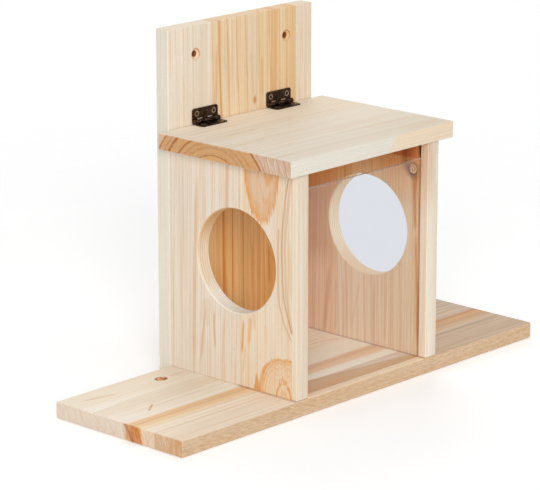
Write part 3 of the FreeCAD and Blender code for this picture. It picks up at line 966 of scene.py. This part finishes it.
class FEEDER_OT_window_pane(Operator):
    """Give the front pane clear acrylic with sawn, frosted edges"""

    bl_idname = "feeder.window_pane"
    bl_label = "Window pane"

    def execute(self, context):
        settings = context.scene.feeder_pane
        sheet = NodeSheet("clear_acrylic")
        flat = abs(sheet.object_normal()[1]).rise(0.6, 0.9)
        x, y, z = sheet.object_place()
        waves = sheet.noise(sheet.vector(x / CAST_WAVES[0], y, z / CAST_WAVES[1]), 1.0)
        rough = flat * (settings.roughness - SAWN_ACRYLIC_ROUGHNESS) + SAWN_ACRYLIC_ROUGHNESS
        # The sawn edges get a painted glow, with emission set by Edge light.
        glass = sheet.wire(
            "BsdfPrincipled", Base_Color=settings.tint, Roughness=rough, IOR=1.49, Transmission_Weight=1.0,
            Emission_Color=shade(204, 172, 150), Emission_Strength=(1.0 - flat) * settings.edge,
            Normal=sheet.bump(waves, CAST_WAVE_HEIGHT))
        clear = sheet.feed("BsdfTransparent", shade(247, 249, 251))
        passing = sheet.most(*sheet.rays("Shadow", "Diffuse"))
        dress("window_pane", sheet.finish(sheet.feed("MixShader", passing, glass, clear)))
        return {"FINISHED"}


def bronze(name, light, shine):
    """Antique bronzed steel: nearly black brown, rubbed to bare metal along its edges, with worn and painted
    bright screw rims.
    """
    settings = bpy.context.scene.feeder_hinge
    sheet = NodeSheet(name)
    cloud = sheet.cloud(2.2, 3.0)
    grit = sheet.cloud(0.25, 2.0)
    rounded, true = sheet.feed("Bevel", settings.edge, samples=6), sheet.wire("NewGeometry", "Normal")
    match = sheet.feed("VectorMath", rounded, true, output="Value", operation="DOT_PRODUCT")
    wear = match.fall(0.90, 0.995) * cloud.rise(0.38, 0.58)
    rub = cloud.rise(0.60, 0.80) * 0.25
    colour = sheet.mix(cloud.rise(0.3, 0.7), settings.bronze, shade(32, 24, 19))
    # Painted shade: light below 1 darkens the finish, which makes the lying leaves a shaded copy.
    colour = sheet.mix(1.0, colour, (light, light, light), "MULTIPLY")
    colour = sheet.mix(sheet.most(wear, rub), colour, settings.worn)
    rim = sheet.feed("Attribute", output="Fac", attribute_name="rim")
    # Wear and painted highlight: a bright ring on the screw heads.
    colour = sheet.mix(rim * (cloud * 0.5 + 0.5), colour, shade(196, 188, 176))
    return sheet.finish(sheet.wire(
        "BsdfPrincipled", Base_Color=colour, Metallic=1.0, Roughness=grit * 0.2 + shine,
        Normal=sheet.bump(grit, BRONZE_GRIT_HEIGHT)))


# Countersunk screws, in millimetres. Head and shank are radii. Length, point, plain and pitch are measured
# along the screw. Slot and span are the width and the length of the cross's arms, and recess is its depth.
HINGE_SCREW = {
    "head": 2.0, "shank": 1.1, "length": 9.0, "point": 2.0, "plain": 1.0, "pitch": 0.9,
    "slot": 0.5, "span": 2.2, "recess": 0.6,
}
BOARD_SCREW = {
    "head": 3.0, "shank": 1.5, "length": 28.0, "point": 4.0, "plain": 8.0, "pitch": 1.8,
    "slot": 0.8, "span": 3.4, "recess": 1.4,
}

# The head's face is made of loops, and a band of them is bright: partly rubbed by the driver and the board,
# partly a painted highlight. Each turn of the thread is cut from some loops too.
HEAD_LOOPS = 18
BRIGHT_LOOPS = range(13, 17)
LOOPS_PER_PITCH = 6

# How far each screw of a pair was turned when it was driven home, in radians.
SCREW_TURNS = (0.5, 1.4)


def screw_mesh(size, sides):
    """A countersunk screw along +Z, in millimetres, from the middle of its head at the origin.

    The head's face is a fine polar grid, pressed down into a tapered cross. The thread is a helix that stays
    within the shank of the solid screw, and runs out along the point.
    """
    mesh = bmesh.new()
    rim = mesh.verts.layers.float.new("rim")
    turns = [math.tau * k / sides for k in range(sides)]
    head, shank, length = size["head"], size["shank"], size["length"]

    def loop(height, radius_at, worn=0.0):
        corners = []
        for turn in turns:
            radius = radius_at(turn)
            x, y = radius * math.cos(turn), radius * math.sin(turn)
            vert = mesh.verts.new((x, y, height(x, y) if callable(height) else height))
            vert[rim] = worn
            corners.append(vert)
        return corners

    def arm(aside, out):
        taper = size["slot"] * 0.35
        width = min(1.0, max(0.0, (size["slot"] / 2 + taper - abs(aside)) / taper))
        return width * min(1.0, max(0.0, (size["span"] / 2 - abs(out)) / taper))

    def pressed(x, y):
        return 0.02 + size["recess"] * max(arm(x, y), arm(y, x))

    middle = mesh.verts.new((0.0, 0.0, pressed(0.0, 0.0)))
    rings = []
    for k in range(1, HEAD_LOOPS + 1):
        out = head * 0.96 * k / HEAD_LOOPS
        rings.append(loop(pressed, lambda turn: out, 1.0 if k in BRIGHT_LOOPS else 0.0))
    for k in range(sides):
        mesh.faces.new((middle, rings[0][(k + 1) % sides], rings[0][k]))
    neck = head - shank
    start = neck + size["plain"]
    rim_and_neck = (0.05, head * 0.99), (0.12, head), (neck + 0.1, shank * 0.98), (start, shank * 0.86)
    for height, radius in rim_and_neck:
        rings.append(loop(height, lambda turn: radius))
    core, pitch, tip = shank * 0.72, size["pitch"], length - size["point"]
    rows = int((length - start) / (pitch / LOOPS_PER_PITCH))
    for row in range(1, rows):
        height = start + row * (length - start) / rows
        slim = min(1.0, max(0.04, (length - height) / size["point"])) if height > tip else 1.0
        fade = min(1.0, (height - start) / pitch)

        def ridge(turn):
            """The radius there: a crest on the middle half of each pitch."""
            along = (height / pitch - turn / math.tau) % 1.0
            crest = max(0.0, 1.0 - abs(along - 0.5) * 4.0)
            return slim * (core + (shank - core) * crest * fade)

        rings.append(loop(height, ridge))
    for first, second in zip(rings, rings[1:]):
        for k in range(sides):
            n = (k + 1) % sides
            mesh.faces.new((first[k], first[n], second[n], second[k]))
    end = mesh.verts.new((0.0, 0.0, length))
    for k in range(sides):
        mesh.faces.new((rings[-1][k], rings[-1][(k + 1) % sides], end))
    bmesh.ops.recalc_face_normals(mesh, faces=mesh.faces)
    for face in mesh.faces:
        face.smooth = True
    return mesh


def screw_pair(node, body, size, sides, toward, material):
    """Two fine screws in place of a pair of plain solid ones, which stay for collision."""
    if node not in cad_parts:
        raise RuntimeError("the packed model has no screws named " + node)
    low, high = (Vector(corner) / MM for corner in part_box(node))
    toward = Vector(toward)
    drive = max(range(3), key=lambda axis: abs(toward[axis]))
    spread = max((axis for axis in range(3) if axis != drive), key=lambda axis: high[axis] - low[axis])
    one = screw_mesh(size, sides)
    single = bpy.data.meshes.new(node + "_one")
    one.to_mesh(single)
    one.free()
    both = bmesh.new()
    places = low[spread] + size["head"], high[spread] - size["head"]
    for place, angle in zip(places, SCREW_TURNS):
        middle = (low + high) / 2
        middle[spread] = place
        middle[drive] = low[drive] if toward[drive] > 0 else high[drive]
        aim = toward.to_track_quat("Z", "Y").to_matrix().to_4x4()
        matrix = Matrix.Translation(middle * MM) @ aim @ Matrix.Rotation(angle, 4, "Z")
        copy = single.copy()
        copy.transform(matrix @ Matrix.Scale(MM, 4))
        both.from_mesh(copy)
        bpy.data.meshes.remove(copy)
    pair = bpy.data.meshes.new(node + "_fine")
    both.to_mesh(pair)
    both.free()
    bpy.data.meshes.remove(single)
    pair.materials.append(material)
    piece = bpy.data.objects.new(node + "_fine", pair)
    bpy.context.scene.collection.objects.link(piece)
    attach(piece, body)
    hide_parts(node)


class FEEDER_OT_hinges(Operator):
    """Give the hinge leaves and pins their bronzed finish, and put fine screws in the leaves"""

    bl_idname = "feeder.hinges"
    bl_label = "Hinges"

    def execute(self, context):
        upright = bronze("bronzed_steel", 1.0, 0.32)
        # The lying leaves take a copy darkened to 0.34 as painted shade.
        lying_shaded = bronze("bronzed_steel_lying", 0.34, 0.26)
        sides = context.scene.feeder_screw.turns
        for hinge in ("left_hinge_", "right_hinge_"):
            dress(hinge + "back_leaf", upright)
            dress(hinge + "pin", upright)
            dress(hinge + "roof_leaf", lying_shaded)
            for leaf, body, toward in (("back", "house", (0, 1, 0)), ("roof", "roof", (0, 0, -1))):
                node = hinge + leaf + "_screws"
                screw_pair(node, body, HINGE_SCREW, sides, toward, upright)
        return {"FINISHED"}


class FEEDER_OT_board_screws(Operator):
    """Put bright zinc screws where the boards are held together"""

    bl_idname = "feeder.board_screws"
    bl_label = "Board screws"

    def execute(self, context):
        settings = context.scene.feeder_screw
        sheet = NodeSheet("zinc_screw")
        cloud = sheet.cloud(1.2, 3.0)
        rim = sheet.feed("Attribute", output="Fac", attribute_name="rim")
        colour = sheet.mix(cloud, settings.zinc, shade(164, 162, 154))
        # Wear and painted highlight: a bright ring on the screw heads.
        colour = sheet.mix(rim * 0.6, colour, shade(232, 230, 224))
        zinc = sheet.finish(sheet.wire(
            "BsdfPrincipled", Base_Color=colour, Metallic=1.0, Roughness=cloud * 0.2 + 0.22))
        for node, toward in (
            ("left_wall_floor_screws", (0, 0, 1)), ("right_wall_floor_screws", (0, 0, 1)),
            ("left_wall_back_screws", (0, -1, 0)), ("right_wall_back_screws", (0, -1, 0)),
            ("floor_edge_screws", (0, -1, 0)),
        ):
            screw_pair(node, "house", BOARD_SCREW, settings.turns, toward, zinc)
        return {"FINISHED"}


# The studio's round paper floor lies just under the feeder. Its radius and drop are in metres. It fades out
# between two distances from the middle, and is open from a little inside the boards' edges so that light
# reaches them from below, both in millimetres. Its lift is light that it gives off to the camera only. Light
# that has come through the pane finds the room and the paper in one grey.
FLOOR_RADIUS = 1.6
FLOOR_SIDES = 96
FLOOR_DROP = 0.0003
FLOOR_FADE = (380.0, 900.0)
FLOOR_LIFT = 0.16
OPENING_INSET = 1.9
OPENING_SOFT = 0.4
ROOM_THROUGH_GLASS = (0.735, 0.755, 0.80)
LAMP_TARGET = Vector((0.0, 0.0, 0.1))
SENSOR_WIDTH = 36.0


def stand(name, data, target, azimuth, elevation, distance):
    """Puts a lamp or a camera at a distance from its target and turns it to look at the target."""
    item = bpy.data.objects.new(name, data)
    flat = math.cos(elevation)
    away = Vector((math.sin(azimuth) * flat, -math.cos(azimuth) * flat, math.sin(elevation)))
    item.location = target + away * distance
    item.rotation_mode = "QUATERNION"
    item.rotation_quaternion = (-away).to_track_quat("-Z", "Y")
    bpy.context.scene.collection.objects.link(item)
    return item


def studio_floor():
    """The paper that the feeder stands on, which only shows from above."""
    mesh = bpy.data.meshes.new("studio_floor")
    turns = [math.tau * k / FLOOR_SIDES for k in range(FLOOR_SIDES)]
    rim = [(FLOOR_RADIUS * math.cos(turn), FLOOR_RADIUS * math.sin(turn), -FLOOR_DROP) for turn in turns]
    mesh.from_pydata(rim, [], [list(range(FLOOR_SIDES))])
    floor = bpy.data.objects.new("studio_floor", mesh)
    bpy.context.scene.collection.objects.link(floor)

    sheet = NodeSheet("studio_floor")
    x, y, _ = sheet.object_place()
    mottle = sheet.noise(sheet.vector(x / 200, y / 200, 0.0), 2.0)
    white = sheet.mix(mottle, shade(250, 250, 250), shade(253, 253, 253))
    paper = sheet.wire("BsdfPrincipled", Base_Color=white, Roughness=0.9, Specular_IOR_Level=0.1)
    seen, through = sheet.rays("Camera", "Transmission")
    paper = sheet.feed("AddShader", paper, sheet.feed("Emission", (1, 1, 1), seen * FLOOR_LIFT))
    paper = sheet.feed("MixShader", through, paper, sheet.feed("Emission", ROOM_THROUGH_GLASS, 1.0))
    far = sheet.maths("SQRT", x * x + y * y)
    opening = sheet.most(sheet.wire("NewGeometry", "Backfacing"), far.rise(*FLOOR_FADE))
    for node in ("floor_board", "back_board"):
        low, high = (Vector(corner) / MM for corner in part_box(node))
        covered = x.window(low.x + OPENING_INSET, high.x - OPENING_INSET, OPENING_SOFT)
        covered = covered * y.window(low.y + OPENING_INSET, high.y - OPENING_INSET, OPENING_SOFT)
        opening = sheet.most(opening, covered)
    clear = sheet.feed("BsdfTransparent", (1, 1, 1))
    mesh.materials.append(sheet.finish(sheet.feed("MixShader", opening, paper, clear)))


def studio_room(strength):
    """A room that lights evenly, looks white, and looks a little grey through the pane."""
    sheet = NodeSheet("studio_room", "worlds")
    seen, mirrored, through = sheet.rays("Camera", "Glossy", "Transmission")
    plain = sheet.most(sheet.most(seen, mirrored), through)
    level = sheet.feed("Mix", plain, None, strength, 1.0)
    light = sheet.feed("Background", sheet.mix(through, (1, 1, 1), ROOM_THROUGH_GLASS), level)
    bpy.context.scene.world = sheet.finish(light, "OutputWorld")


def studio_lamp(name, azimuth, elevation, distance, size, power):
    """A soft round lamp that faces the feeder, placed by angles in degrees and lengths in metres."""
    lamp = bpy.data.lights.new(name, "AREA")
    lamp.shape, lamp.size, lamp.energy = "DISK", size, power
    return stand(name, lamp, LAMP_TARGET, math.radians(azimuth), math.radians(elevation), distance)


def studio_camera(settings):
    camera = bpy.data.cameras.new("photo_camera")
    camera.sensor_width, camera.lens = SENSOR_WIDTH, settings.lens
    camera.sensor_fit = "HORIZONTAL"
    camera.clip_start, camera.clip_end = 0.05, 20.0
    place = settings.azimuth, settings.elevation, settings.distance
    bpy.context.scene.camera = stand("photo_camera", camera, Vector(settings.target), *place)


class FEEDER_OT_studio(Operator):
    """Make the pale floor, the soft lamps, the white room and the camera"""

    bl_idname = "feeder.studio"
    bl_label = "Studio"

    def execute(self, context):
        settings = context.scene.feeder_studio
        context.scene.view_settings.view_transform = "Standard"
        studio_floor()
        studio_room(settings.world)
        key = studio_lamp("key_lamp", -45.0, 20.0, 2.4, 1.1, settings.key)
        studio_lamp("rear_lamp", 140.0, 40.0, 2.2, 1.4, settings.rear)
        studio_lamp("top_lamp", 20.0, 80.0, 2.2, 1.4, settings.top)

        # From the front right, the clear pane would mirror the large key lamp as a white sheet.
        pane = bpy.data.collections.new("not_lit_by_key_lamp")
        pane.objects.link(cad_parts["window_pane"])
        pane.collection_objects[0].light_linking.link_state = "EXCLUDE"
        key.light_linking.receiver_collection = pane
        studio_camera(settings)
        return {"FINISHED"}


class FEEDER_PT_finish(Panel):
    """Lists the feeder's settings and the steps that finish it"""

    bl_label = "Feeder house"
    bl_idname = "FEEDER_PT_finish"
    bl_space_type = "VIEW_3D"
    bl_region_type = "UI"
    bl_category = "Feeder"

    def draw(self, context):
        layout = self.layout
        for title, group in GROUPS.items():
            box = layout.box()
            box.label(text=title.replace("feeder_", "").capitalize())
            settings = getattr(context.scene, title)
            for name in group.__annotations__:
                box.prop(settings, name)
        for step in STEPS:
            layout.operator(step.bl_idname)


STEPS = (
    FEEDER_OT_floor_board, FEEDER_OT_back_board, FEEDER_OT_side_walls, FEEDER_OT_roof_board,
    FEEDER_OT_window_pane, FEEDER_OT_hinges, FEEDER_OT_board_screws, FEEDER_OT_studio,
)
GROUPS = {
    "feeder_pine": PineSettings,
    "feeder_pane": PaneSettings,
    "feeder_hinge": HingeSettings,
    "feeder_screw": ScrewSettings,
    "feeder_studio": StudioSettings,
}


def register():
    for item in (*GROUPS.values(), *STEPS, FEEDER_PT_finish):
        bpy.utils.register_class(item)
    for name, group in GROUPS.items():
        setattr(bpy.types.Scene, name, PointerProperty(type=group))


def unregister():
    for name in GROUPS:
        delattr(bpy.types.Scene, name)
    for item in (FEEDER_PT_finish, *STEPS, *GROUPS.values()):
        bpy.utils.unregister_class(item)


def main():
    register()
    bpy.ops.feeder.floor_board()
    bpy.ops.feeder.back_board()
    bpy.ops.feeder.side_walls()
    bpy.ops.feeder.roof_board()
    bpy.ops.feeder.window_pane()
    bpy.ops.feeder.hinges()
    bpy.ops.feeder.board_screws()
    bpy.ops.feeder.studio()


if __name__ == "__main__":
    main()
